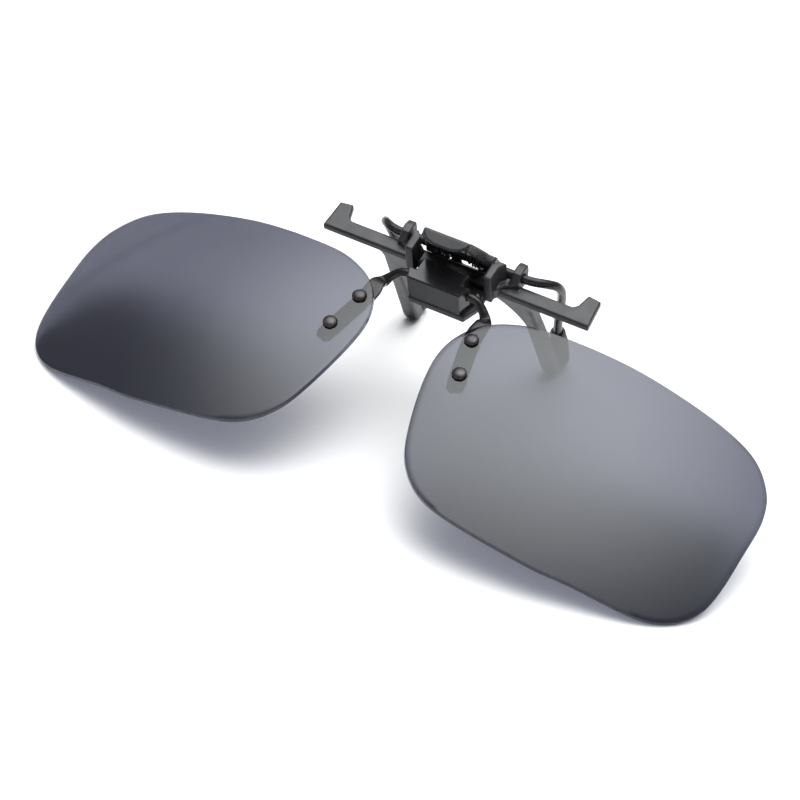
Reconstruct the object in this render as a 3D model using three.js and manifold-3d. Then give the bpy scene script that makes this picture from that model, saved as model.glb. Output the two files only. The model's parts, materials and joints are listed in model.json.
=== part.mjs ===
// Clip-on flip-up lenses: a spring clip that grips a pair of spectacles above the bridge, and a pair
// of tinted lenses on a wire that turns in the clip's hinge block. Millimetres, +Z up.
//
// Everything is drawn in the clip's own frame (X across, Y towards the wearer, Z up, origin in the
// middle of the rim bar's front top edge, lenses flipped up). The last lines tip it forward, so that it
// stands on the tips of its two claws and the outer corners of its lenses, as it lies on a table.
import * as THREE from 'three';
import { mergeVertices } from 'three/addons/utils/BufferGeometryUtils.js';
import Module from 'manifold-3d';

const wasm = await Module();
wasm.setup();

// ---- driving dimensions ----
const lensThick = 0.9;
const lensWrap = THREE.MathUtils.degToRad(13.5);
const lensRadius = 110;
const lensSpacing = 74.4;
const lensRise = 0.9;
const lensSetback = -24.65;

const barHalf = 25.6;
const barWidth = 2.8;
const barThick = 1.6;
const endReach = 6.1;
const endWidth = 3.5;

const clawSlope = 0.265;
const clawThick = 2.4;
const clawInner = 12.5;
const clawOuter = 15.8;
const clawBottom = -31.0;

const cheekInner = 6.75;
const cheekOuter = 8.3;
const cheekTop = 5.0;
const earInner = 9.95;
const earOuter = 11.6;
const earTop = 2.2;

const blockFront = -6.95;
const blockTop = 4.6;
const blockRear = -2.0;
const flangeTop = -1.5;
const flipY = -4.7;
const flipZ = 2.4;

const pivotY = 3.75;
const pivotZ = 0.95;
const clampRadius = 0.8;
const armRadius = 0.75;
const bladeHalf = 1.6;
const bladeThick = 0.7;
const runClearance = 0.15;
const restGap = 0.1;

const rivetHead = 1.25;
const rivetShank = 0.55;
const rivets = [[-26.4, 11.3], [-25.0, 4.0]];
const rubberRadius = 1.6;

// ---- looks ----
const finish = (color, roughness, metalness) =>
  new THREE.MeshStandardMaterial({ color, roughness, metalness });
const mattePlastic = finish(0x2a2a2d, 0.6, 0);
const glossPlastic = finish(0x17171a, 0.22, 0);
const blackWire = finish(0x1c1c1f, 0.25, 0.6);
const gunmetal = finish(0x5a5150, 0.35, 1);
const springSteel = finish(0x77777c, 0.3, 1);
const softRubber = finish(0x1a1a1c, 0.85, 0);
const greyLens = finish(0x6b7180, 0.05, 0);

// ---- solids and booleans ----
function toSolid(geometry) {
  const bare = geometry.clone();
  bare.deleteAttribute('normal');
  bare.deleteAttribute('uv');
  const merged = mergeVertices(bare, 1e-5);
  const vertProperties = new Float32Array(merged.attributes.position.array);
  const triVerts = new Uint32Array(merged.index.array);
  return new wasm.Manifold(new wasm.Mesh({ numProp: 3, vertProperties, triVerts }));
}

function toGeometry(solid) {
  const mesh = solid.getMesh();
  const geometry = new THREE.BufferGeometry();
  geometry.setAttribute('position', new THREE.BufferAttribute(new Float32Array(mesh.vertProperties), 3));
  geometry.setIndex(new THREE.BufferAttribute(new Uint32Array(mesh.triVerts), 1));
  geometry.computeVertexNormals();
  return geometry;
}

const join = (...parts) => toGeometry(parts.map(toSolid).reduce((a, b) => a.add(b)));
const cut = (body, ...tools) => toGeometry(tools.map(toSolid).reduce((a, b) => a.subtract(b), toSolid(body)));

// turns a closed skin's faces outwards, whichever way round it was drawn
function outward(geometry) {
  const skin = geometry.index ? geometry : mergeVertices(geometry);
  const index = skin.index.array;
  const corner = (i) => new THREE.Vector3().fromBufferAttribute(skin.attributes.position, index[i]);
  let volume = 0;
  for (let i = 0; i < index.length; i += 3) {
    volume += corner(i).dot(corner(i + 1).cross(corner(i + 2)));
  }
  for (let i = 0; volume < 0 && i < index.length; i += 3) {
    [index[i + 1], index[i + 2]] = [index[i + 2], index[i + 1]];
  }
  skin.computeVertexNormals();
  return skin;
}

const mirror = (geometry) => outward(geometry.clone().scale(-1, 1, 1));

// ---- drawing helpers ----
function outline(points) {
  const shape = new THREE.Shape();
  points.forEach(([x, y], i) => (i ? shape.lineTo(x, y) : shape.moveTo(x, y)));
  shape.closePath();
  return shape;
}

function block(x0, x1, y0, y1, z0, z1) {
  const geometry = new THREE.BoxGeometry(x1 - x0, y1 - y0, z1 - z0);
  return geometry.translate((x0 + x1) / 2, (y0 + y1) / 2, (z0 + z1) / 2);
}

function plate(shape, depth, bevel) {
  return new THREE.ExtrudeGeometry(shape, {
    depth: depth - 2 * bevel,
    bevelEnabled: bevel > 0,
    bevelThickness: bevel,
    bevelSize: bevel,
    bevelOffset: -bevel,
    bevelSegments: 1,
    curveSegments: 6,
  }).translate(0, 0, bevel);
}

// a plate drawn in plan and raised from z0 to z1
const raised = (shape, z0, z1, bevel = 0) => plate(shape, z1 - z0, bevel).translate(0, 0, z0);
// a plate drawn in the front view (x, z) and running from y0 to y1
const fronted = (shape, y0, y1, bevel = 0) => plate(shape, y1 - y0, bevel).rotateX(Math.PI / 2).translate(0, y1, 0);
// a plate drawn in the side view (y, z) and running from x0 to x1
function sided(shape, x0, x1, bevel = 0) {
  const turn = new THREE.Matrix4().makeBasis(
    new THREE.Vector3(0, 1, 0), new THREE.Vector3(0, 0, 1), new THREE.Vector3(1, 0, 0));
  return plate(shape, x1 - x0, bevel).applyMatrix4(turn).translate(x0, 0, 0);
}

function rod(radius, x0, x1, y, z, sides = 16) {
  return new THREE.CylinderGeometry(radius, radius, x1 - x0, sides)
    .rotateZ(Math.PI / 2).translate((x0 + x1) / 2, y, z);
}

function tube(points, radius, steps, sides) {
  const section = new THREE.Shape().absarc(0, 0, radius, 0, 2 * Math.PI);
  const path = new THREE.CatmullRomCurve3(points.map((p) => new THREE.Vector3(...p)), false, 'centripetal');
  section.curves[0].getPoints = () => ring(sides, radius, radius);
  return outward(new THREE.ExtrudeGeometry(section, { steps, extrudePath: path, curveSegments: sides }));
}

function ring(count, a, b, power = 1) {
  const points = [];
  for (let i = 0; i < count; i += 1) {
    const angle = (2 * Math.PI * i) / count;
    const c = Math.cos(angle);
    const s = Math.sin(angle);
    points.push(new THREE.Vector2(a * Math.sign(c) * Math.abs(c) ** power, b * Math.sign(s) * Math.abs(s) ** power));
  }
  return points;
}

// a closed skin over a row of equal rings of points, with a flat cap on each end
function loft(rings) {
  const count = rings[0].length;
  const positions = rings.flat().flatMap((p) => [p.x, p.y, p.z]);
  const index = [];
  for (let r = 0; r + 1 < rings.length; r += 1) {
    for (let i = 0; i < count; i += 1) {
      const a = r * count + i;
      const b = r * count + ((i + 1) % count);
      index.push(a, b, b + count, a, b + count, a + count);
    }
  }
  const last = (rings.length - 1) * count;
  for (let i = 1; i + 1 < count; i += 1) {
    index.push(0, i + 1, i, last, last + i, last + i + 1);
  }
  const geometry = new THREE.BufferGeometry();
  geometry.setAttribute('position', new THREE.Float32BufferAttribute(positions, 3));
  geometry.setIndex(index);
  return outward(geometry);
}

// ---- front bracket: rim bar, claws, cheeks, ears and the hinge flange, one moulding ----
function rimBar() {
  const inner = barHalf - endWidth;
  const fillet = 0.7;
  const lean = 0.35;
  const right = [
    [0, 0], [barHalf, 0], [barHalf - lean, endReach - 0.3], [inner + 2 * lean, endReach],
    [inner, barWidth + fillet], [inner - fillet, barWidth], [0, barWidth],
  ];
  const left = right.slice(1, -1).reverse().map(([x, y]) => [-x, y]);
  return raised(outline([...right, ...left]), -barThick, 0, 0.25);
}

function claw() {
  const tip = (clawOuter - clawInner) / 2;
  const shape = new THREE.Shape();
  shape.moveTo(6.3, -0.6);
  shape.lineTo(16.0, -0.6);
  shape.lineTo(16.0, -1.5);
  shape.quadraticCurveTo(14.6, -1.9, 14.4, -3.8);
  shape.absarc(clawOuter - tip, clawBottom + tip, tip, 0, -Math.PI, true);
  shape.lineTo(clawInner - 0.3, -11);
  shape.quadraticCurveTo(11, -5.2, 6.3, -1.9);
  const leg = fronted(shape, 0, clawThick, 0.35);
  const lean = new THREE.Matrix4().set(
    1, 0, 0, 0, 0, 1, -clawSlope, 0.05 - 0.6 * clawSlope, 0, 0, 1, 0, 0, 0, 0, 1);
  return leg.applyMatrix4(lean);
}

function cheek() {
  const wall = raised(outline([
    [cheekInner, -1.7], [cheekOuter - 0.1, -1.7], [cheekOuter, 1.2], [cheekOuter + 0.9, 2.6],
    [cheekInner + 0.9, 2.6], [cheekInner, 1.4],
  ]), -barThick, cheekTop, 0.2);
  const foot = raised(outline([
    [cheekInner, -0.6], [cheekOuter + 0.1, -0.6], [cheekOuter + 1, 0.9], [earOuter, 1.9],
    [earOuter, 5.6], [earInner, 5.6], [earInner - 0.9, 4.2], [cheekInner, 2.2],
  ]), -barThick, 0.9, 0.2);
  const ear = sided(outline([
    [1.6, -0.6], [5.7, -0.6], [6.05, 0.9], [5.9, earTop], [4.6, earTop + 0.5], [3.0, earTop + 0.4], [1.6, 1.2],
  ]), earInner, earOuter, 0.2);
  return [wall, foot, ear];
}

function flange() {
  const front = -6.6;
  const wide = 6.7;
  return raised(outline([
    [-5.3, front], [5.3, front], [wide, -3.4], [wide, 0.8], [-wide, 0.8], [-wide, -3.4],
  ]), flangeTop - 1.5, flangeTop, 0.2);
}

function frontBracket() {
  const right = [claw(), ...cheek()];
  const seat = rod(clampRadius + runClearance, cheekInner - 1, earOuter + 1, pivotY, pivotZ);
  const web = fronted(outline([[-7, -1.2], [7, -1.2], [7, -3.4], [-7, -3.4]]), 0.2, 2.4, 0.2);
  // a low wall behind the springs, in four posts with windows between them
  const posts = [[-6.5, -3.3], [-2.7, -0.7], [2.6, 3.9], [4.6, 6.5]];
  const tray = posts.map(([x0, x1]) => block(x0, x1, 4.2, 4.8, -3.4, -0.9));
  tray.push(block(-6.5, 6.5, 0.2, 4.8, -3.4, -2.7));
  const body = join(rimBar(), flange(), web, ...tray, ...right, ...right.map(mirror));
  return cut(body, seat, mirror(seat));
}

// ---- hinge block: a cap with a pocket for the turning wire, its square cam and the click leaf ----
function hingeCap() {
  const skirtInset = 0.55;
  const widthAt = (y) => 4.95 + (y - blockFront) * 0.34;
  const plan = (inset) => {
    const front = blockFront + inset;
    const w0 = widthAt(front) - inset;
    const w1 = widthAt(blockRear) - inset;
    return outline([[-w0, front], [w0, front], [w1, blockRear], [-w1, blockRear]]);
  };
  // the front half is wide and hooks over the wire; the rear half is narrower and leaves it open
  const hook = flipY - 0.05;
  const waist = 4.3;
  const half = [[widthAt(blockFront), blockFront], [widthAt(hook), hook], [waist, hook], [waist, blockRear]];
  const other = half.slice().reverse().map(([x, y]) => [-x, y]);
  const upper = raised(outline([...half, ...other]), 0.2, blockTop, 0.25);
  const skirt = raised(plan(skirtInset), flangeTop + restGap, 0.6);
  const bore = rod(armRadius + runClearance, -8, 8, flipY, flipZ);
  const pocket = block(-3.1, 3.1, flipY - 1.35, flipY + 1.35, flangeTop - 1, flipZ + 1.3);
  return cut(join(upper, skirt), bore, pocket);
}

function clickLeaf() {
  const bottom = flangeTop + restGap;
  const arch = new THREE.Shape();
  arch.moveTo(-2.8, bottom);
  arch.lineTo(-1.9, bottom);
  arch.quadraticCurveTo(0, bottom + 4.2, 1.9, bottom);
  arch.lineTo(2.8, bottom);
  arch.lineTo(2.8, bottom + 0.2);
  arch.lineTo(1.9, bottom + 0.2);
  arch.quadraticCurveTo(0, bottom + 4.4, -1.9, bottom + 0.2);
  arch.lineTo(-2.8, bottom + 0.2);
  arch.closePath();
  return fronted(arch, flipY - 1.0, flipY + 1.0);
}

function detentCam() {
  const half = 0.95;
  const sleeve = block(-2.2, 2.2, flipY - half, flipY + half, flipZ - half, flipZ + half);
  return cut(sleeve, rod(armRadius + 0.05, -3, 3, flipY, flipZ));
}

// ---- lens pair ----
// a point of the right lens's front face: u towards the temple, v towards the hinge
function lensPoint(u, v, depth = 0) {
  const sag = -(u * u + v * v) / (2 * lensRadius) - depth;
  const c = Math.cos(lensWrap);
  const s = Math.sin(lensWrap);
  return new THREE.Vector3(
    lensSpacing / 2 + u * c + sag * s, v + lensSetback, sag * c - u * s + lensRise);
}

function lensNormal(u, v) {
  const step = 0.1;
  const alongU = lensPoint(u + step, v).sub(lensPoint(u - step, v));
  const alongV = lensPoint(u, v + step).sub(lensPoint(u, v - step));
  return alongU.cross(alongV).normalize();
}

function lensEdge(count) {
  const corners = [
    [29.7, 1.9], [29.7, 9.4], [28, 14.1], [23.1, 18.4], [4.1, 20.8], [-11.2, 20.2], [-20.4, 18.7], [-26.9, 14.5],
    [-30, 7.1], [-27.6, -8.5], [-24.3, -15.5], [-18.8, -19.5], [-0.7, -21.1], [7.1, -20.4], [22.2, -18],
    [27.9, -12.4],
  ];
  const curve = new THREE.CatmullRomCurve3(corners.map(([u, v]) => new THREE.Vector3(u, v, 0)), true);
  return curve.getSpacedPoints(count).slice(0, count);
}

function lens() {
  const spokes = 56;
  const rings = 4;
  const edge = lensEdge(spokes);
  const row = (share, depth) => edge.map((p) => lensPoint(p.x * share, p.y * share, depth));
  const rows = [];
  for (let r = 0; r <= rings; r += 1) rows.push(row(0.02 + 0.98 * (r / rings), 0));
  for (let r = rings; r >= 0; r -= 1) rows.push(row(0.02 + 0.98 * (r / rings), lensThick));
  const holes = rivets.map((place) => rivetAt(place, [[rivetShank + 0.1, 1], [rivetShank + 0.1, -3]]));
  return cut(loft(rows), ...holes);
}

// a turned piece standing on the lens at a rivet: profile pairs are radius and height above the lens
function rivetAt([u, v], profile) {
  const full = [[0, profile[0][1]], ...profile, [0, profile.at(-1)[1]]];
  const points = full.map(([r, h]) => new THREE.Vector2(r, h)).reverse();
  const centre = lensPoint(u, v);
  const spin = new THREE.Quaternion().setFromUnitVectors(new THREE.Vector3(0, 1, 0), lensNormal(u, v));
  return outward(new THREE.LatheGeometry(points, 14).applyQuaternion(spin).translate(centre.x, centre.y, centre.z));
}

const bladeTop = -lensThick - restGap;
const bladeBottom = bladeTop - bladeThick;

function rivet(place) {
  const tail = bladeBottom - 0.45 - 2 * restGap;
  const dome = [0.3, 0.6, 0.85, 1].map((t) => [rivetHead * t, restGap + 0.15 + 0.6 * Math.sqrt(1 - t * t)]);
  return rivetAt(place, [
    ...dome, [rivetHead, restGap], [rivetShank, restGap], [rivetShank, tail], [0.8, tail], [0.75, tail - 0.3],
  ]);
}

function rivetWasher(place) {
  const top = bladeBottom - restGap;
  const disc = rivetAt(place, [[1.3, top], [1.3, top - 0.4]]);
  return cut(disc, rivetAt(place, [[rivetShank + 0.1, 1], [rivetShank + 0.1, -5]]));
}

// the wire that turns in the hinge block: round in the middle, flattened to a riveted blade at each end
function lensWire() {
  const free = (x, dy, dz, wide, thick) => (
    { at: new THREE.Vector3(x, flipY + dy, flipZ + dz), up: new THREE.Vector3(0, 0, 1), wide, thick });
  const under = (u, v, wide, thick = bladeThick / 2) => (
    { at: lensPoint(u, v, lensThick + restGap + bladeThick / 2), up: lensNormal(u, v), wide, thick });
  const stations = [
    free(0, 0, 0, armRadius, armRadius), free(5.6, 0, 0, armRadius, armRadius),
    free(7.2, -0.15, -0.3, armRadius, armRadius), free(8.8, -1.0, -1.3, 0.8, 0.72),
    free(9.7, -2.1, -1.9, 1.0, 0.6), under(-26.5, 16.4, 1.4, 0.4), under(-26.6, 14.2, bladeHalf),
    under(-26.4, 11.3, bladeHalf), under(-25.7, 7.6, bladeHalf), under(-25.0, 4.0, bladeHalf),
    under(-24.5, 1.9, 1.5), under(-24.3, 1.2, 0.9),
  ];
  const path = new THREE.CatmullRomCurve3(stations.map((s) => s.at), false, 'centripetal');
  const steps = 3;
  const total = (stations.length - 1) * steps;
  const half = [];
  for (let i = 0; i <= total; i += 1) {
    const k = Math.min(Math.floor(i / steps), stations.length - 2);
    const share = i / steps - k;
    const wide = THREE.MathUtils.lerp(stations[k].wide, stations[k + 1].wide, share);
    const thick = THREE.MathUtils.lerp(stations[k].thick, stations[k + 1].thick, share);
    const along = path.getTangent(i / total);
    const normal = stations[k].up.clone().lerp(stations[k + 1].up, share);
    normal.addScaledVector(along, -along.dot(normal)).normalize();
    const across = new THREE.Vector3().crossVectors(normal, along).normalize();
    const squareness = thick < wide ? 0.6 : 1;
    const centre = path.getPoint(i / total);
    half.push(ring(12, wide, thick, squareness).map((p) => centre.clone()
      .addScaledVector(across, p.x).addScaledVector(normal, p.y)));
  }
  const flip = (points) => points.map((p) => new THREE.Vector3(-p.x, p.y, p.z));
  const wire = loft([...half.slice(1).reverse().map(flip), ...half]);
  const holes = rivets.map((place) => rivetAt(place, [[rivetShank + 0.1, 1], [rivetShank + 0.1, -4]]));
  return cut(wire, ...holes, ...holes.map(mirror));
}

// ---- clamp: thumb lever, one bent wire through it, two rubber tips, two coil springs ----
function thumbLever() {
  const hub = 1.5;
  const wall = 0.7;
  // a forward-leaning channel: a back wall with a flange down each side
  const stations = [
    { y: 4.3, z: 2.8, w: 6.3, f: 2.0 }, { y: 3.4, z: 4.4, w: 5.95, f: 2.1 }, { y: 2.2, z: 6.6, w: 5.5, f: 2.0 },
    { y: 0.9, z: 8.8, w: 5.0, f: 1.8 }, { y: -0.4, z: 10.9, w: 4.55, f: 1.5 }, { y: -1.25, z: 11.6, w: 4.35, f: 1.2 },
  ];
  const channel = (beyond, skin) => loft(stations.map(({ y, z, w, f }) => {
    const profile = [[skin - w, skin], [w - skin, skin], [w - skin, f + skin], [skin - w, f + skin]];
    return profile.map(([x, ahead]) => new THREE.Vector3(
      x, y - 0.88 * ahead - 0.48 * beyond * (z - 7), z - 0.48 * ahead + 0.88 * beyond * (z - 7)));
  }));
  const shell = cut(channel(0, 0), channel(0.05, wall));
  const front = [[4.3, -1.1], [4.1, -2.0], [3.2, -2.9], [1.7, -3.4]];
  const left = front.slice().reverse().map(([x, y]) => [-x, y]);
  const roof = raised(outline([...front, ...left]), -0.4, 0.4, 0.15).applyMatrix4(
    new THREE.Matrix4().makeTranslation(0, -1.1, 11.45)
      .multiply(new THREE.Matrix4().makeRotationX(0.22)).multiply(new THREE.Matrix4().makeTranslation(0, 1.1, 0)));
  const side = (x0, x1) => {
    const arm = sided(outline([[2.35, 1.2], [5.15, 1.2], [4.4, 3.1], [2.3, 3.1]]), x0, x1);
    return [arm, rod(hub, x0, x1, pivotY, pivotZ)];
  };
  const body = join(shell, roof, ...side(4.8, 6.4), ...side(-6.4, -4.8));
  return cut(body, rod(clampRadius + restGap, -8, 8, pivotY, pivotZ));
}

const clampRoute = [
  [14.3, 4.15, 0.8], [15.6, 5.1, 0.0], [16.6, 6.3, -1.4], [16.9, 7.3, -3.4], [16.8, 7.9, -5.4],
  [16.1, 8.9, -10.5], [15.2, 9.7, -16.0], [14.8, 10.33, -20.6], [14.69, 10.92, -23.6],
];

function clampWire() {
  const right = [[0, pivotY, pivotZ], [5, pivotY, pivotZ], [10, pivotY, pivotZ], [12.8, pivotY, pivotZ], ...clampRoute];
  const left = right.slice(1).reverse().map(([x, y, z]) => [-x, y, z]);
  return tube([...left, ...right], clampRadius, 92, 10);
}

function rubberTip() {
  const top = new THREE.Vector3(14.82, 10.25, -20.2);
  const bottom = new THREE.Vector3(14.35, 12.7, -32.6);
  const along = bottom.clone().sub(top);
  const length = along.length();
  const bore = clampRadius + restGap;
  const profile = [
    [bore, 4.6], [bore, 0], [1.35, 0], [1.4, 1.5], [rubberRadius, 2.4], [rubberRadius, length * 0.8],
    [1.4, length - 1.1], [0.8, length - 0.25], [0, length], [0, 4.6],
  ];
  const spin = new THREE.Quaternion().setFromUnitVectors(new THREE.Vector3(0, 1, 0), along.normalize());
  const points = [...profile, profile[0]].map(([r, h]) => new THREE.Vector2(r, h));
  return outward(new THREE.LatheGeometry(points, 12).applyQuaternion(spin).translate(top.x, top.y, top.z));
}

function coilSpring(x0, turns) {
  const wire = 0.16;
  const pitch = 0.52;
  const radius = clampRadius + 0.15 + wire;
  const points = [[x0, 1.45, 5.5], [x0, 1.75, 3.6]];
  const perTurn = 10;
  for (let i = 0; i <= turns * perTurn; i += 1) {
    const angle = Math.PI - (2 * Math.PI * i) / perTurn;
    points.push([x0 + (pitch * i) / perTurn, pivotY + radius * Math.cos(angle), pivotZ + radius * Math.sin(angle)]);
  }
  const x1 = x0 + pitch * turns;
  points.push([x1, 2.45, 1.5], [x1, 2.0, 0.45], [x1, 1.2, 0.32]);
  return tube(points, wire, turns * 16 + 12, 6);
}

// ---- assembly ----
const model = new THREE.Group();
const clipFrame = new THREE.Group();
model.add(clipFrame);

function addNode(name, geometry, material) {
  const mesh = new THREE.Mesh(geometry, material);
  mesh.name = name;
  clipFrame.add(mesh);
  return mesh;
}

function addPair(name, geometry, material) {
  return [addNode(`${name}_right`, geometry, material), addNode(`${name}_left`, mirror(geometry), material)];
}

const bracketMesh = addNode('front_bracket', frontBracket(), mattePlastic);
addNode('hinge_cap', hingeCap(), glossPlastic);
addNode('click_leaf', clickLeaf(), springSteel);
addNode('detent_cam', detentCam(), springSteel);
addNode('lens_wire', lensWire(), gunmetal);
const lensMeshes = addPair('lens', lens(), greyLens);
['inner', 'outer'].forEach((where, i) => {
  addPair(`rivet_${where}`, rivet(rivets[i]), gunmetal);
  addPair(`rivet_washer_${where}`, rivetWasher(rivets[i]), softRubber);
});
addNode('thumb_lever', thumbLever(), glossPlastic);
addNode('clamp_wire', clampWire(), blackWire);
addPair('rubber_tip', rubberTip(), softRubber);
addNode('coil_spring_right', coilSpring(1.9, 4), springSteel);
addNode('coil_spring_left', coilSpring(-4.2, 4), springSteel);

// ---- resting attitude: claws and lens corners on one level, middle of the footprint at the origin ----
function lowest(mesh) {
  return new THREE.Box3().setFromObject(mesh, true).min.z;
}

function settle() {
  let low = 0;
  let high = THREE.MathUtils.degToRad(45);
  for (let i = 0; i < 40; i += 1) {
    const tilt = (low + high) / 2;
    clipFrame.rotation.x = tilt;
    model.updateMatrixWorld(true);
    if (lowest(bracketMesh) < lowest(lensMeshes[0])) low = tilt;
    else high = tilt;
  }
  const box = new THREE.Box3().setFromObject(clipFrame, true);
  clipFrame.position.set(0, -(box.min.y + box.max.y) / 2, -box.min.z);
  model.updateMatrixWorld(true);
}

settle();

export default model;
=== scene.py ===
"""Clip-on flip-up lenses lying on a pale table, lenses flipped up.

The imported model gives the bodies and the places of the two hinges. The shapes below are drawn in
millimetres in the clip's own frame (X across, Y towards the wearer, Z up, origin in the middle of the rim
bar's front top edge), the frame that the part is drawn in, and set_down() lays them where the part lies.
"""
import json
import math

import bmesh
import bpy
from mathutils import Matrix, Vector


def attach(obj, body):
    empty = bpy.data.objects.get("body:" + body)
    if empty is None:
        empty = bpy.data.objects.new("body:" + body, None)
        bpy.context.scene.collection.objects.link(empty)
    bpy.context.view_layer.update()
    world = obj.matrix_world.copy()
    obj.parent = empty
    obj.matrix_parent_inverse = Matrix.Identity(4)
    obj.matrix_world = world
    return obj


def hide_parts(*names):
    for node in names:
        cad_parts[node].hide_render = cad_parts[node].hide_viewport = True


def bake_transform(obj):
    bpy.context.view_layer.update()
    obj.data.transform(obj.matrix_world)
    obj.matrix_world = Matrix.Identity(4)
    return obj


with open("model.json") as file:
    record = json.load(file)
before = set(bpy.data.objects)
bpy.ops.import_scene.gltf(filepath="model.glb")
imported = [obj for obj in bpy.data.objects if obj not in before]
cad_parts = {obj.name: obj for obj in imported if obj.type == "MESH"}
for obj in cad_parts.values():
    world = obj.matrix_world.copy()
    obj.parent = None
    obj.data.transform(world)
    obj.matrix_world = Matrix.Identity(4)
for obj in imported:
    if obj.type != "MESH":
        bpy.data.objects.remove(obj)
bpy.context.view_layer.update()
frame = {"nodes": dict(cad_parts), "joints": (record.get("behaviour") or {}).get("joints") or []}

# ---- driving dimensions, in millimetres ----
MM = 0.001
FLIP_AXIS = Vector((0, -4.7, 2.4))
CLAMP_AXIS = Vector((0, 3.75, 0.95))

LENS_WRAP = math.radians(13.5)
LENS_RADIUS = 110
LENS_SPACING = 74.4
LENS_RISE = 0.9
LENS_SETBACK = -24.65
LENS_THICK = 0.9
# the outline's points come from a program's fit, not from a few dimensions
LENS_CORNERS = [
    (29.7, 1.9), (29.7, 9.4), (28, 14.1), (23.1, 18.4), (4.1, 20.8), (-11.2, 20.2), (-20.4, 18.7),
    (-26.9, 14.5), (-30, 7.1), (-27.6, -8.5), (-24.3, -15.5), (-18.8, -19.5), (-0.7, -21.1),
    (7.1, -20.4), (22.2, -18), (27.9, -12.4),
]

ARM_RADIUS = 0.75
BLADE_HALF = 1.6
BLADE_THICK = 0.7
GAP = 0.1
RIVETS = {"inner": (-26.4, 11.3), "outer": (-25.0, 4.0)}
RIVET_HEAD = 1.25
RIVET_SHANK = 0.55

CLAMP_RADIUS = 0.8
CLAMP_ROUTE = [
    (0, 3.75, 0.95), (5, 3.75, 0.95), (10, 3.75, 0.95), (12.8, 3.75, 0.95), (14.3, 4.15, 0.8),
    (15.6, 5.1, 0.0), (16.6, 6.3, -1.4), (16.9, 7.3, -3.4), (16.8, 7.9, -5.4), (16.1, 8.9, -10.5),
    (15.2, 9.7, -16.0), (14.8, 10.33, -20.6), (14.69, 10.92, -23.6),
]
RUBBER_TOP = Vector((14.82, 10.25, -20.2))
RUBBER_BOTTOM = Vector((14.35, 12.7, -32.6))
RUBBER_RADIUS = 1.6

SPRING_WIRE = 0.16
SPRING_PITCH = 0.52
SPRING_TURNS = 4
SPRING_STARTS = {"right": 1.9, "left": -4.2}
SPRING_CLEARANCE = 0.15

# camera, in the clip's frame, from a program's fit to the lens outlines and the clip's corners
CAMERA_PLACE = Vector((136.25, -232.1, 343.5))
CAMERA_RIGHT = Vector((0.877977, 0.475461, -0.055624))
CAMERA_DOWN = Vector((0.36069, -0.733447, -0.576158))
CAMERA_LOOK = Vector((-0.314737, 0.48579, -0.815444))
CAMERA_LENS = 114.7
CAMERA_SHIFT = (0.0058, -0.0003)

# where the light comes from: degrees round from the row's X axis, and degrees up
PANEL = (95, 80)
SEAM_ENDS = (144, 24), (158, 17)
SEAM_MIDDLE = (151, 21)
SEAM_HALF_WIDTH = 0.05
SEAM_DEPTH = 0.75


def clip_to_row():
    """The turn and shift from the clip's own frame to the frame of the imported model."""
    anchor = {j["name"]: Vector(j["pos_m"]) / MM for j in frame["joints"]}
    found = anchor["clamp"] - anchor["flip"]
    drawn = CLAMP_AXIS - FLIP_AXIS
    tilt = math.atan2(found.z, found.y) - math.atan2(drawn.z, drawn.y)
    turn = Matrix.Rotation(tilt, 4, "X")
    return Matrix.Translation(anchor["flip"]) @ turn @ Matrix.Translation(-FLIP_AXIS)


LAY = Matrix.Scale(MM, 4) @ clip_to_row()


# ---- mesh helpers: shapes in millimetres, laid down at the end ----
def set_down(name, rows, faces, body, stands_for, smooth=35, material_index=None):
    mesh = bpy.data.meshes.new(name)
    mesh.from_pydata([LAY @ Vector(p) for p in rows], [], faces)
    bm = bmesh.new()
    bm.from_mesh(mesh)
    bmesh.ops.recalc_face_normals(bm, faces=bm.faces)
    bm.to_mesh(mesh)
    bm.free()
    for face in mesh.polygons:
        face.use_smooth = True
        if material_index:
            face.material_index = material_index[face.index]
    mesh.set_sharp_from_angle(angle=math.radians(smooth))
    obj = bpy.data.objects.new(name, mesh)
    bpy.context.scene.collection.objects.link(obj)
    if body:
        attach(obj, body)
    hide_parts(*stands_for)
    return obj


def skin(rings, closed=False):
    """Points and faces of a skin over a row of equal rings, with a cap on each open end."""
    count = len(rings[0])
    points = [p for ring in rings for p in ring]
    faces = []
    for r in range(len(rings) - (0 if closed else 1)):
        a, b = r * count, ((r + 1) % len(rings)) * count
        for i in range(count):
            j = (i + 1) % count
            faces.append((a + i, a + j, b + j, b + i))
    if not closed:
        faces.append(tuple(range(count))[::-1])
        faces.append(tuple(range(len(points) - count, len(points))))
    return points, faces


def mirrored(points):
    return [Vector((-p[0], p[1], p[2])) for p in points]


def lathe(profile, base, along, count=40):
    """Points and faces of a turned body: profile pairs are radius and height along the axis from base."""
    spin = Vector((0, 0, 1)).rotation_difference(along)
    rings = []
    for radius, height in profile:
        ring = []
        for i in range(count):
            a = 2 * math.pi * i / count
            ring.append(base + spin @ Vector((radius * math.cos(a), radius * math.sin(a), height)))
        rings.append(ring)
    return skin(rings)


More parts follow.
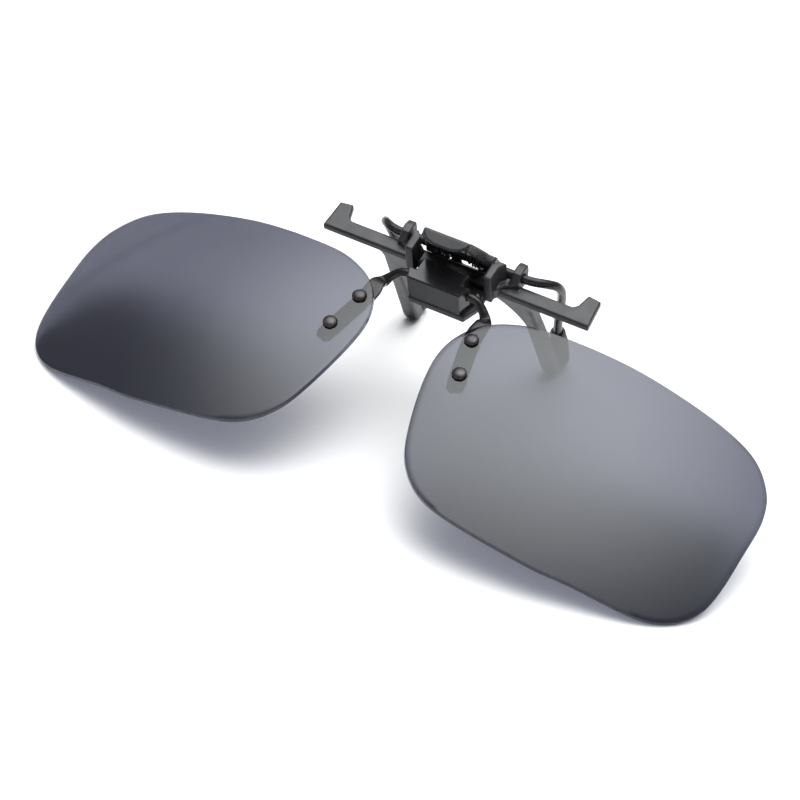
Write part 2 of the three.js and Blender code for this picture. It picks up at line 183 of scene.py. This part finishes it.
def through(points, per_step):
    """A smooth curve through points: centripetal Catmull-Rom, per_step points to each span."""
    pts = [Vector(p) for p in points]
    pts = [2 * pts[0] - pts[1]] + pts + [2 * pts[-1] - pts[-2]]
    out = []
    for k in range(1, len(pts) - 2):
        p0, p1, p2, p3 = pts[k - 1:k + 3]
        t = [0.0]
        for a, b in ((p0, p1), (p1, p2), (p2, p3)):
            t.append(t[-1] + max((b - a).length, 1e-6) ** 0.5)
        for i in range(per_step):
            s = t[1] + (t[2] - t[1]) * i / per_step
            a1 = p0.lerp(p1, (s - t[0]) / (t[1] - t[0]))
            a2 = p1.lerp(p2, (s - t[1]) / (t[2] - t[1]))
            a3 = p2.lerp(p3, (s - t[2]) / (t[3] - t[2]))
            b1 = a1.lerp(a2, (s - t[0]) / (t[2] - t[0]))
            b2 = a2.lerp(a3, (s - t[1]) / (t[3] - t[1]))
            out.append(b1.lerp(b2, (s - t[1]) / (t[2] - t[1])))
    out.append(pts[-2])
    return out


def tube(path, radius, sides):
    """Points and faces of a round tube along path. radius is a number or a function of the share along it."""
    rings = []
    up = Vector((0, 0, 1))
    for i, centre in enumerate(path):
        along = (path[min(i + 1, len(path) - 1)] - path[max(i - 1, 0)]).normalized()
        up = (up - along * along.dot(up)).normalized()
        side = along.cross(up)
        r = radius(i / (len(path) - 1)) if callable(radius) else radius
        ring = []
        for k in range(sides):
            a = 2 * math.pi * k / sides
            ring.append(centre + side * (r * math.cos(a)) + up * (r * math.sin(a)))
        rings.append(ring)
    return skin(rings)


# ---- materials ----
def new_material(name, slot):
    material = bpy.data.materials.new(name)
    material.use_nodes = True
    tree = material.node_tree
    shader = tree.nodes["Principled BSDF"]
    material["slot"] = slot
    return material, tree, shader


def noise(tree, scale, detail=4.0, rough=0.55, stretch=None):
    place = tree.nodes.new("ShaderNodeTexCoord")
    texture = tree.nodes.new("ShaderNodeTexNoise")
    texture.inputs["Scale"].default_value = scale
    texture.inputs["Detail"].default_value = detail
    texture.inputs["Roughness"].default_value = rough
    if stretch:
        mapping = tree.nodes.new("ShaderNodeMapping")
        mapping.inputs["Scale"].default_value = stretch
        tree.links.new(place.outputs["Object"], mapping.inputs["Vector"])
        tree.links.new(mapping.outputs["Vector"], texture.inputs["Vector"])
    else:
        tree.links.new(place.outputs["Object"], texture.inputs["Vector"])
    return texture


def ramp(tree, source, stops):
    node = tree.nodes.new("ShaderNodeValToRGB")
    for i, (place, colour) in enumerate(stops):
        stop = node.color_ramp.elements[i] if i < 2 else node.color_ramp.elements.new(place)
        stop.position = place
        stop.color = (*colour, 1) if isinstance(colour, tuple) else (colour, colour, colour, 1)
    tree.links.new(source, node.inputs["Fac"])
    return node.outputs["Color"]


def bump(tree, shader, height, strength, distance):
    node = tree.nodes.new("ShaderNodeBump")
    node.inputs["Strength"].default_value = strength
    node.inputs["Distance"].default_value = distance
    tree.links.new(height, node.inputs["Height"])
    tree.links.new(node.outputs["Normal"], shader.inputs["Normal"])


def painted_edge_highlight(tree, least):
    """1 on sharp convex edges, which get a painted highlight, 0 elsewhere; least is how sharp an edge has to
    be.
    """
    geometry = tree.nodes.new("ShaderNodeNewGeometry")
    stops = tree.nodes.new("ShaderNodeMapRange")
    stops.inputs["From Min"].default_value = 0.5 + least
    stops.inputs["From Max"].default_value = 0.5 + least + 0.12
    tree.links.new(geometry.outputs["Pointiness"], stops.inputs["Value"])
    return stops.outputs["Result"]


def mix_colour(tree, fac, a, b):
    node = tree.nodes.new("ShaderNodeMix")
    node.data_type = "RGBA"
    tree.links.new(fac, node.inputs["Factor"])
    for value, socket in ((a, node.inputs[6]), (b, node.inputs[7])):
        if isinstance(value, tuple):
            socket.default_value = (*value, 1)
        else:
            tree.links.new(value, socket)
    return node.outputs[2]


def moulded_plastic(name, slot, dark, light, roughness, grain, specular=0.5):
    """Injection-moulded plastic: faint mottling, spark-eroded grain and a painted highlight, a paler base
    colour on sharp edges.
    """
    material, tree, shader = new_material(name, slot)
    mottle = noise(tree, 160, 3)
    colour = ramp(tree, mottle.outputs["Fac"], [(0.35, dark), (0.7, light)])
    # painted highlight: the paler colour that sharp edges get
    edge = tuple(c * 1.5 + 0.006 for c in light)
    tree.links.new(mix_colour(tree, painted_edge_highlight(tree, 0.06), colour, edge), shader.inputs["Base Color"])
    blotch = noise(tree, 420, 2)
    low, high = roughness
    tree.links.new(ramp(tree, blotch.outputs["Fac"], [(0.3, low), (0.75, high)]), shader.inputs["Roughness"])
    shader.inputs["Specular IOR Level"].default_value = specular
    fine = noise(tree, 5200, 2, 0.6)
    bump(tree, shader, fine.outputs["Fac"], grain, 0.00003)
    return material


def coated_wire(name, slot, dark, light, roughness, metallic, specular=0.5):
    """Drawn wire under a satin black finish, with faint lines along it, small scuffs and a painted highlight
    on its sharp edges.
    """
    material, tree, shader = new_material(name, slot)
    scuff = noise(tree, 900, 5, 0.7)
    colour = ramp(tree, scuff.outputs["Fac"], [(0.45, dark), (0.72, light)])
    # painted highlight: sharp edges take the light colour
    tree.links.new(mix_colour(tree, painted_edge_highlight(tree, 0.05), colour, light), shader.inputs["Base Color"])
    lines = noise(tree, 1500, 3, 0.5, stretch=(1, 0.12, 0.12))
    low, high = roughness
    tree.links.new(ramp(tree, lines.outputs["Fac"], [(0.3, low), (0.7, high)]), shader.inputs["Roughness"])
    shader.inputs["Metallic"].default_value = metallic
    shader.inputs["Specular IOR Level"].default_value = specular
    bump(tree, shader, lines.outputs["Fac"], 0.12, 0.00002)
    return material


def rubber(name, slot):
    material, tree, shader = new_material(name, slot)
    dust = noise(tree, 350, 5, 0.65)
    colour = ramp(tree, dust.outputs["Fac"], [(0.4, (0.022, 0.022, 0.024)), (0.8, (0.05, 0.05, 0.052))])
    tree.links.new(colour, shader.inputs["Base Color"])
    tree.links.new(ramp(tree, dust.outputs["Fac"], [(0.3, 0.55), (0.8, 0.8)]), shader.inputs["Roughness"])
    pores = noise(tree, 3800, 3)
    bump(tree, shader, pores.outputs["Fac"], 0.35, 0.00004)
    return material


def tinted_lens(name, slot):
    """Grey plastic lens: a clear tint that dims what lies behind, under a hard glossy coat."""
    material = bpy.data.materials.new(name)
    material.use_nodes = True
    material["slot"] = slot
    tree = material.node_tree
    tree.nodes.remove(tree.nodes["Principled BSDF"])
    output = tree.nodes["Material Output"]
    clear = tree.nodes.new("ShaderNodeBsdfTransparent")
    gloss = tree.nodes.new("ShaderNodeBsdfGlossy")
    body = tree.nodes.new("ShaderNodeBsdfDiffuse")
    smear = noise(tree, 55, 5, 0.6)
    tree.links.new(
        ramp(tree, smear.outputs["Fac"], [(0.3, (0.302, 0.306, 0.356)), (0.75, (0.316, 0.32, 0.37))]),
        clear.inputs["Color"])
    tree.links.new(ramp(tree, smear.outputs["Fac"], [(0.3, 0.03), (0.8, 0.07)]), gloss.inputs["Roughness"])
    gloss.inputs["Color"].default_value = (0.92, 0.94, 0.93, 1)
    body.inputs["Color"].default_value = (0.2, 0.2, 0.23, 1)
    fresnel = tree.nodes.new("ShaderNodeFresnel")
    fresnel.inputs["IOR"].default_value = 1.49
    # the way out through the far face must not turn the whole lens into a mirror
    geometry = tree.nodes.new("ShaderNodeNewGeometry")
    outer = tree.nodes.new("ShaderNodeMix")
    tree.links.new(geometry.outputs["Backfacing"], outer.inputs["Factor"])
    tree.links.new(fresnel.outputs[0], outer.inputs["A"])
    outer.inputs["B"].default_value = 0
    haze = tree.nodes.new("ShaderNodeMixShader")
    haze.inputs["Fac"].default_value = 0.02
    coat = tree.nodes.new("ShaderNodeMixShader")
    tree.links.new(clear.outputs[0], haze.inputs[1])
    tree.links.new(body.outputs[0], haze.inputs[2])
    tree.links.new(outer.outputs["Result"], coat.inputs["Fac"])
    tree.links.new(haze.outputs[0], coat.inputs[1])
    tree.links.new(gloss.outputs[0], coat.inputs[2])
    tree.links.new(coat.outputs[0], output.inputs["Surface"])
    return material


def lens_edge_finish(name, slot):
    """The cut and polished rim of a lens: dark, with fine lines round it."""
    material, tree, shader = new_material(name, slot)
    lines = noise(tree, 1200, 3)
    colour = ramp(tree, lines.outputs["Fac"], [(0.35, (0.012, 0.012, 0.013)), (0.7, (0.03, 0.028, 0.03))])
    tree.links.new(colour, shader.inputs["Base Color"])
    tree.links.new(ramp(tree, lines.outputs["Fac"], [(0.3, 0.35), (0.8, 0.5)]), shader.inputs["Roughness"])
    shader.inputs["Specular IOR Level"].default_value = 0.25
    bump(tree, shader, lines.outputs["Fac"], 0.2, 0.00002)
    return material


def finish_with(obj, *materials):
    obj.data.materials.clear()
    for material in materials:
        obj.data.materials.append(material)


# ---- lens pair ----
def lens_point(u, v, depth=0.0):
    """A point of the right lens's front face: u towards the temple, v towards the hinge."""
    sag = -(u * u + v * v) / (2 * LENS_RADIUS) - depth
    c, s = math.cos(LENS_WRAP), math.sin(LENS_WRAP)
    return Vector((LENS_SPACING / 2 + u * c + sag * s, v + LENS_SETBACK, sag * c - u * s + LENS_RISE))


def lens_normal(u, v):
    along_u = lens_point(u + 0.1, v) - lens_point(u - 0.1, v)
    along_v = lens_point(u, v + 0.1) - lens_point(u, v - 0.1)
    return along_u.cross(along_v).normalized()


def lens_edge():
    """The lens's outline as a smooth closed curve of evenly dense points."""
    closed = LENS_CORNERS[-1:] + LENS_CORNERS + LENS_CORNERS[:2]
    curve = through([(u, v, 0) for u, v in closed], 10)
    return [(p.x, p.y) for p in curve[10:-10]][:-1]


def lens(side):
    edge = lens_edge()
    rim = 0.16
    rows = []
    shares = [0.0001, 0.12, 0.25, 0.4, 0.55, 0.7, 0.82, 0.91, 0.965]
    for share in shares:
        rows.append([lens_point(u * share, v * share) for u, v in edge])
    for drop, inset in ((0, rim), (0.05, 0.06), (rim, 0), (LENS_THICK - rim, 0), (LENS_THICK - 0.05, 0.06),
                        (LENS_THICK, rim)):
        share = 1 - inset / 25
        rows.append([lens_point(u * share, v * share, drop) for u, v in edge])
    for share in reversed(shares):
        rows.append([lens_point(u * share, v * share, LENS_THICK) for u, v in edge])
    points, faces = skin(rows)
    count = len(edge)
    first, last = len(shares) + 1, len(shares) + 4
    index = [1 if first <= min(f) // count < last and len(f) == 4 else 0 for f in faces]
    if side == "left":
        points = mirrored(points)
    piece = set_down(f"lens_{side}_shell", points, faces, "lens_pair", [f"lens_{side}"], 25, index)
    finish_with(piece, LENS_TINT, LENS_EDGE)


def wire_stations():
    """Places along the right half of the lens wire: centre, upward direction, half width, half thickness."""
    def free(x, dy, dz, wide, thick):
        return Vector((x, FLIP_AXIS.y + dy, FLIP_AXIS.z + dz)), Vector((0, 0, 1)), wide, thick

    def under(u, v, wide, thick=BLADE_THICK / 2):
        return lens_point(u, v, LENS_THICK + GAP + BLADE_THICK / 2), lens_normal(u, v), wide, thick

    return [
        free(0, 0, 0, ARM_RADIUS, ARM_RADIUS), free(5.6, 0, 0, ARM_RADIUS, ARM_RADIUS),
        free(7.2, -0.15, -0.3, ARM_RADIUS, ARM_RADIUS), free(8.8, -1.0, -1.3, 0.8, 0.72),
        free(9.7, -2.1, -1.9, 1.0, 0.6), under(-26.5, 16.4, 1.4, 0.4), under(-26.6, 14.2, BLADE_HALF),
        under(-26.4, 11.3, BLADE_HALF), under(-25.7, 7.6, BLADE_HALF), under(-25.0, 4.0, BLADE_HALF),
        under(-24.5, 1.9, 1.5), under(-24.3, 1.2, 0.9),
    ]


def lens_wire():
    stations = wire_stations()
    steps = 10
    path = through([s[0] for s in stations], steps)
    half = []
    for i, centre in enumerate(path):
        k = min(i // steps, len(stations) - 2)
        share = i / steps - k
        share = share * share * (3 - 2 * share)
        a, b = stations[k], stations[k + 1]
        wide = a[2] + (b[2] - a[2]) * share
        thick = a[3] + (b[3] - a[3]) * share
        along = (path[min(i + 1, len(path) - 1)] - path[max(i - 1, 0)]).normalized()
        normal = a[1].lerp(b[1], share)
        normal = (normal - along * along.dot(normal)).normalized()
        across = normal.cross(along).normalized()
        power = 1.0 - 0.62 * min(1.0, max(0.0, (wide - thick) / 0.5))
        ring = []
        for j in range(32):
            angle = 2 * math.pi * j / 32
            c, s = math.cos(angle), math.sin(angle)
            x = wide * math.copysign(abs(c) ** power, c)
            y = thick * math.copysign(abs(s) ** power, s)
            ring.append(centre + across * x + normal * y)
        half.append(ring)
    rings = [mirrored(ring) for ring in reversed(half[1:])] + half
    points, faces = skin(rings)
    piece = set_down("lens_wire_smooth", points, faces, "lens_pair", ["lens_wire"], 60)
    finish_with(piece, ARM_METAL)


def rivets():
    blade_bottom = -LENS_THICK - GAP - BLADE_THICK
    tail = blade_bottom - 0.45 - 2 * GAP
    dome = [(RIVET_HEAD * math.sin(a), GAP + 0.17 + 0.58 * math.cos(a))
            for a in [math.pi / 2 * i / 9 for i in range(10)]]
    dome[0] = (0.02, dome[0][1])
    head = dome + [
        (RIVET_HEAD + 0.02, GAP + 0.1), (RIVET_HEAD - 0.06, GAP), (RIVET_SHANK, GAP), (RIVET_SHANK, tail),
        (0.84, tail), (0.8, tail - 0.16), (0.6, tail - 0.28), (0.02, tail - 0.3),
    ]
    top = blade_bottom - GAP
    hole = RIVET_SHANK + 0.1
    disc = [
        (hole, top), (1.22, top), (1.3, top - 0.08), (1.3, top - 0.32), (1.22, top - 0.4), (hole, top - 0.4),
    ]
    for where, (u, v) in RIVETS.items():
        for side in ("right", "left"):
            points, faces = lathe(head, lens_point(u, v), lens_normal(u, v))
            ring_points, ring_faces = lathe(disc + disc[:1], lens_point(u, v), lens_normal(u, v))
            ring_faces = ring_faces[:-2]
            if side == "left":
                points, ring_points = mirrored(points), mirrored(ring_points)
            piece = set_down(
                f"rivet_head_{where}_{side}", points, faces, "lens_pair", [f"rivet_{where}_{side}"])
            finish_with(piece, RIVET_METAL)
            washer = set_down(
                f"washer_{where}_{side}", ring_points, ring_faces, "lens_pair",
                [f"rivet_washer_{where}_{side}"])
            finish_with(washer, WASHER)


# ---- clamp ----
def clamp_wire():
    right = through(CLAMP_ROUTE, 14)
    path = mirrored(reversed(right[1:])) + right
    points, faces = tube(path, CLAMP_RADIUS, 28)
    piece = set_down("clamp_wire_smooth", points, faces, "clamp", ["clamp_wire"], 60)
    finish_with(piece, CLAMP_METAL)


def rubber_tips():
    length = (RUBBER_BOTTOM - RUBBER_TOP).length
    bore = CLAMP_RADIUS + GAP
    widest = RUBBER_RADIUS - 0.03
    profile = [
        (bore, 4.6), (bore, 0.1), (bore + 0.08, 0), (1.25, 0), (1.38, 0.12), (1.4, 0.4), (1.4, 1.3),
        (1.34, 1.45), (1.36, 1.6), (1.48, 2.1), (widest, 2.8),
    ]
    for i in range(1, 9):
        profile.append((widest + 0.02 * math.sin(i * 0.7), 2.8 + (length * 0.8 - 2.8) * i / 8))
    for i in range(1, 10):
        angle = math.pi / 2 * i / 9
        profile.append((max(0.02, widest * math.cos(angle)), length * (0.8 + 0.198 * math.sin(angle))))
    profile += [(0.02, 4.6)]
    along = (RUBBER_BOTTOM - RUBBER_TOP).normalized()
    for side in ("right", "left"):
        points, faces = lathe(profile + profile[:1], RUBBER_TOP, along)
        faces = faces[:-2]
        if side == "left":
            points = mirrored(points)
        piece = set_down(f"rubber_tip_{side}_smooth", points, faces, "clamp", [f"rubber_tip_{side}"], 40)
        finish_with(piece, RUBBER)


def coil_springs():
    radius = CLAMP_RADIUS + SPRING_CLEARANCE + SPRING_WIRE
    per_turn = 12
    y, z = CLAMP_AXIS.y, CLAMP_AXIS.z
    for side, x0 in SPRING_STARTS.items():
        route = [(x0, 1.45, 5.5), (x0, 1.75, 3.6)]
        for i in range(SPRING_TURNS * per_turn + 1):
            angle = math.pi - 2 * math.pi * i / per_turn
            x = x0 + SPRING_PITCH * i / per_turn
            route.append((x, y + radius * math.cos(angle), z + radius * math.sin(angle)))
        x1 = x0 + SPRING_PITCH * SPRING_TURNS
        route += [(x1, 2.45, 1.5), (x1, 2.0, 0.45), (x1, 1.2, 0.32)]
        points, faces = tube(through(route, 4), SPRING_WIRE, 10)
        piece = set_down(f"spring_{side}_smooth", points, faces, None, [f"coil_spring_{side}"], 60)
        finish_with(piece, SPRING_STEEL)
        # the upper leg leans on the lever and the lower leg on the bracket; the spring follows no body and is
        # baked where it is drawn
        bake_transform(piece)


# ---- CAD nodes that stay: softened edges and their materials ----
def soften(name, voxel, rounds):
    """Rounds every edge of a moulding a little, as its tool does."""
    node = frame["nodes"][name]
    remesh = node.modifiers.new("even_skin", "REMESH")
    remesh.mode = "VOXEL"
    remesh.voxel_size = voxel * MM
    remesh.use_smooth_shade = True
    relax = node.modifiers.new("rounded_edges", "SMOOTH")
    relax.factor = 0.5
    relax.iterations = rounds
    return node


def bevelled(name, width):
    """Rounds the sharp edges of a flat-sided piece."""
    node = frame["nodes"][name]
    join = node.modifiers.new("whole_faces", "DECIMATE")
    join.decimate_type = "DISSOLVE"
    join.angle_limit = math.radians(1)
    edge = node.modifiers.new("edges", "BEVEL")
    edge.width = width * MM
    edge.segments = 3
    edge.limit_method = "ANGLE"
    edge.angle_limit = math.radians(25)
    edge.harden_normals = True
    for face in node.data.polygons:
        face.use_smooth = True
    return node


# ---- stage ----
def floor():
    material, tree, shader = new_material("table", "table")
    grain = noise(tree, 12, 3)
    tree.links.new(
        ramp(tree, grain.outputs["Fac"], [(0.3, (0.89, 0.89, 0.89)), (0.8, (0.91, 0.91, 0.91))]),
        shader.inputs["Base Color"])
    shader.inputs["Roughness"].default_value = 0.6
    shader.inputs["Specular IOR Level"].default_value = 0.2
    mesh = bpy.data.meshes.new("table")
    bm = bmesh.new()
    bmesh.ops.create_grid(bm, x_segments=8, y_segments=8, size=3)
    bm.to_mesh(mesh)
    bm.free()
    mesh.materials.append(material)
    table = bpy.data.objects.new("table", mesh)
    bpy.context.scene.collection.objects.link(table)


def heading(azimuth, height):
    a, h = math.radians(azimuth), math.radians(height)
    return Vector((math.cos(h) * math.cos(a), math.cos(h) * math.sin(a), math.sin(h)))


def closeness(tree, place, direction):
    """The cosine of the angle between each way you can look and a direction."""
    node = tree.nodes.new("ShaderNodeVectorMath")
    node.operation = "DOT_PRODUCT"
    node.inputs[1].default_value = direction
    tree.links.new(place.outputs["Generated"], node.inputs[0])
    return node.outputs["Value"]


def eased(tree, value, start, end, low, high):
    node = tree.nodes.new("ShaderNodeMapRange")
    node.interpolation_type = "SMOOTHSTEP"
    for name, number in (("From Min", start), ("From Max", end), ("To Min", low), ("To Max", high)):
        node.inputs[name].default_value = number
    tree.links.new(value, node.inputs["Value"])
    return node.outputs["Result"]


def sky():
    """A studio of soft light: a wide panel overhead, dim low down, and a dark seam low on the left."""
    world = bpy.data.worlds.new("studio")
    bpy.context.scene.world = world
    world.use_nodes = True
    tree = world.node_tree
    background = tree.nodes["Background"]
    place = tree.nodes.new("ShaderNodeTexCoord")
    stops = [
        (0.0, 0.22), (0.4, 0.28), (0.6, 0.36), (0.7, 0.65), (0.76, 1.1), (0.82, 2.0), (0.87, 3.1),
        (0.92, 4.4), (0.97, 5.6), (1.0, 5.8),
    ]
    top = max(s[1] for s in stops)
    tint = (0.96, 0.975, 0.985)
    shades = [(p, tuple(c * s / top for c in tint)) for p, s in stops]
    colour = ramp(tree, closeness(tree, place, heading(*PANEL)), shades)
    tree.links.new(colour, background.inputs["Color"])
    start, end = SEAM_ENDS
    across = heading(*start).cross(heading(*end)).normalized()
    apart = tree.nodes.new("ShaderNodeMath")
    apart.operation = "ABSOLUTE"
    tree.links.new(closeness(tree, place, across), apart.inputs[0])
    seam = eased(tree, apart.outputs[0], 0.0, SEAM_HALF_WIDTH, SEAM_DEPTH * top, 0.0)
    near = eased(tree, closeness(tree, place, heading(*SEAM_MIDDLE)), 0.94, 0.985, 0.0, 1.0)
    depth = tree.nodes.new("ShaderNodeMath")
    depth.operation = "MULTIPLY"
    tree.links.new(seam, depth.inputs[0])
    tree.links.new(near, depth.inputs[1])
    strength = tree.nodes.new("ShaderNodeMath")
    strength.operation = "SUBTRACT"
    strength.inputs[0].default_value = top
    tree.links.new(depth.outputs[0], strength.inputs[1])
    tree.links.new(strength.outputs[0], background.inputs["Strength"])


def camera():
    data = bpy.data.cameras.new("camera")
    data.lens = CAMERA_LENS
    data.sensor_width = 36
    data.shift_x, data.shift_y = CAMERA_SHIFT
    data.clip_start = 0.01
    obj = bpy.data.objects.new("camera", data)
    bpy.context.scene.collection.objects.link(obj)
    turn = LAY.to_3x3() * (1 / MM)
    axes = Matrix((turn @ CAMERA_RIGHT, turn @ -CAMERA_DOWN, turn @ -CAMERA_LOOK)).transposed()
    obj.matrix_world = Matrix.Translation(LAY @ CAMERA_PLACE) @ axes.normalized().to_4x4()
    bpy.context.scene.camera = obj


bpy.context.scene.view_settings.view_transform = "Standard"

BRACKET = moulded_plastic(
    "matte_black_plastic", "bracket_plastic", (0.015, 0.015, 0.018), (0.024, 0.023, 0.026),
    (0.36, 0.48), 0.35, 0.5)
GLOSS = moulded_plastic(
    "satin_black_plastic", "cap_plastic", (0.01, 0.01, 0.012), (0.015, 0.015, 0.017), (0.12, 0.2), 0.08, 0.4)
LEVER = moulded_plastic(
    "lever_black_plastic", "lever_plastic", (0.009, 0.009, 0.011), (0.014, 0.014, 0.016),
    (0.24, 0.34), 0.12, 0.4)
WASHER = moulded_plastic(
    "black_washer_plastic", "washer_plastic", (0.02, 0.02, 0.022), (0.03, 0.03, 0.032), (0.35, 0.5), 0.2)
CLAMP_METAL = coated_wire(
    "black_coated_wire", "wire_metal", (0.01, 0.01, 0.011), (0.024, 0.024, 0.026), (0.18, 0.3), 0.0, 0.3)
ARM_METAL = coated_wire(
    "gunmetal_wire", "arm_metal", (0.01, 0.009, 0.01), (0.03, 0.026, 0.027), (0.2, 0.3), 0.45)
RIVET_METAL = coated_wire(
    "black_rivet_metal", "rivet_metal", (0.04, 0.036, 0.036), (0.09, 0.082, 0.082), (0.22, 0.32), 0.6)
SPRING_STEEL = coated_wire(
    "spring_steel", "spring_steel", (0.05, 0.05, 0.055), (0.12, 0.12, 0.125), (0.25, 0.35), 0.9)
RUBBER = rubber("black_rubber", "tip_rubber")
LENS_TINT = tinted_lens("grey_lens", "lens_tint")
LENS_EDGE = lens_edge_finish("grey_lens_edge", "lens_tint")

for lens_side in ("right", "left"):
    lens(lens_side)
lens_wire()
rivets()
clamp_wire()
rubber_tips()
coil_springs()
finish_with(soften("front_bracket", 0.13, 6), BRACKET)
finish_with(soften("thumb_lever", 0.1, 9), LEVER)
finish_with(bevelled("hinge_cap", 0.18), GLOSS)
finish_with(bevelled("detent_cam", 0.08), SPRING_STEEL)
finish_with(bevelled("click_leaf", 0.03), SPRING_STEEL)
floor()
sky()
camera()
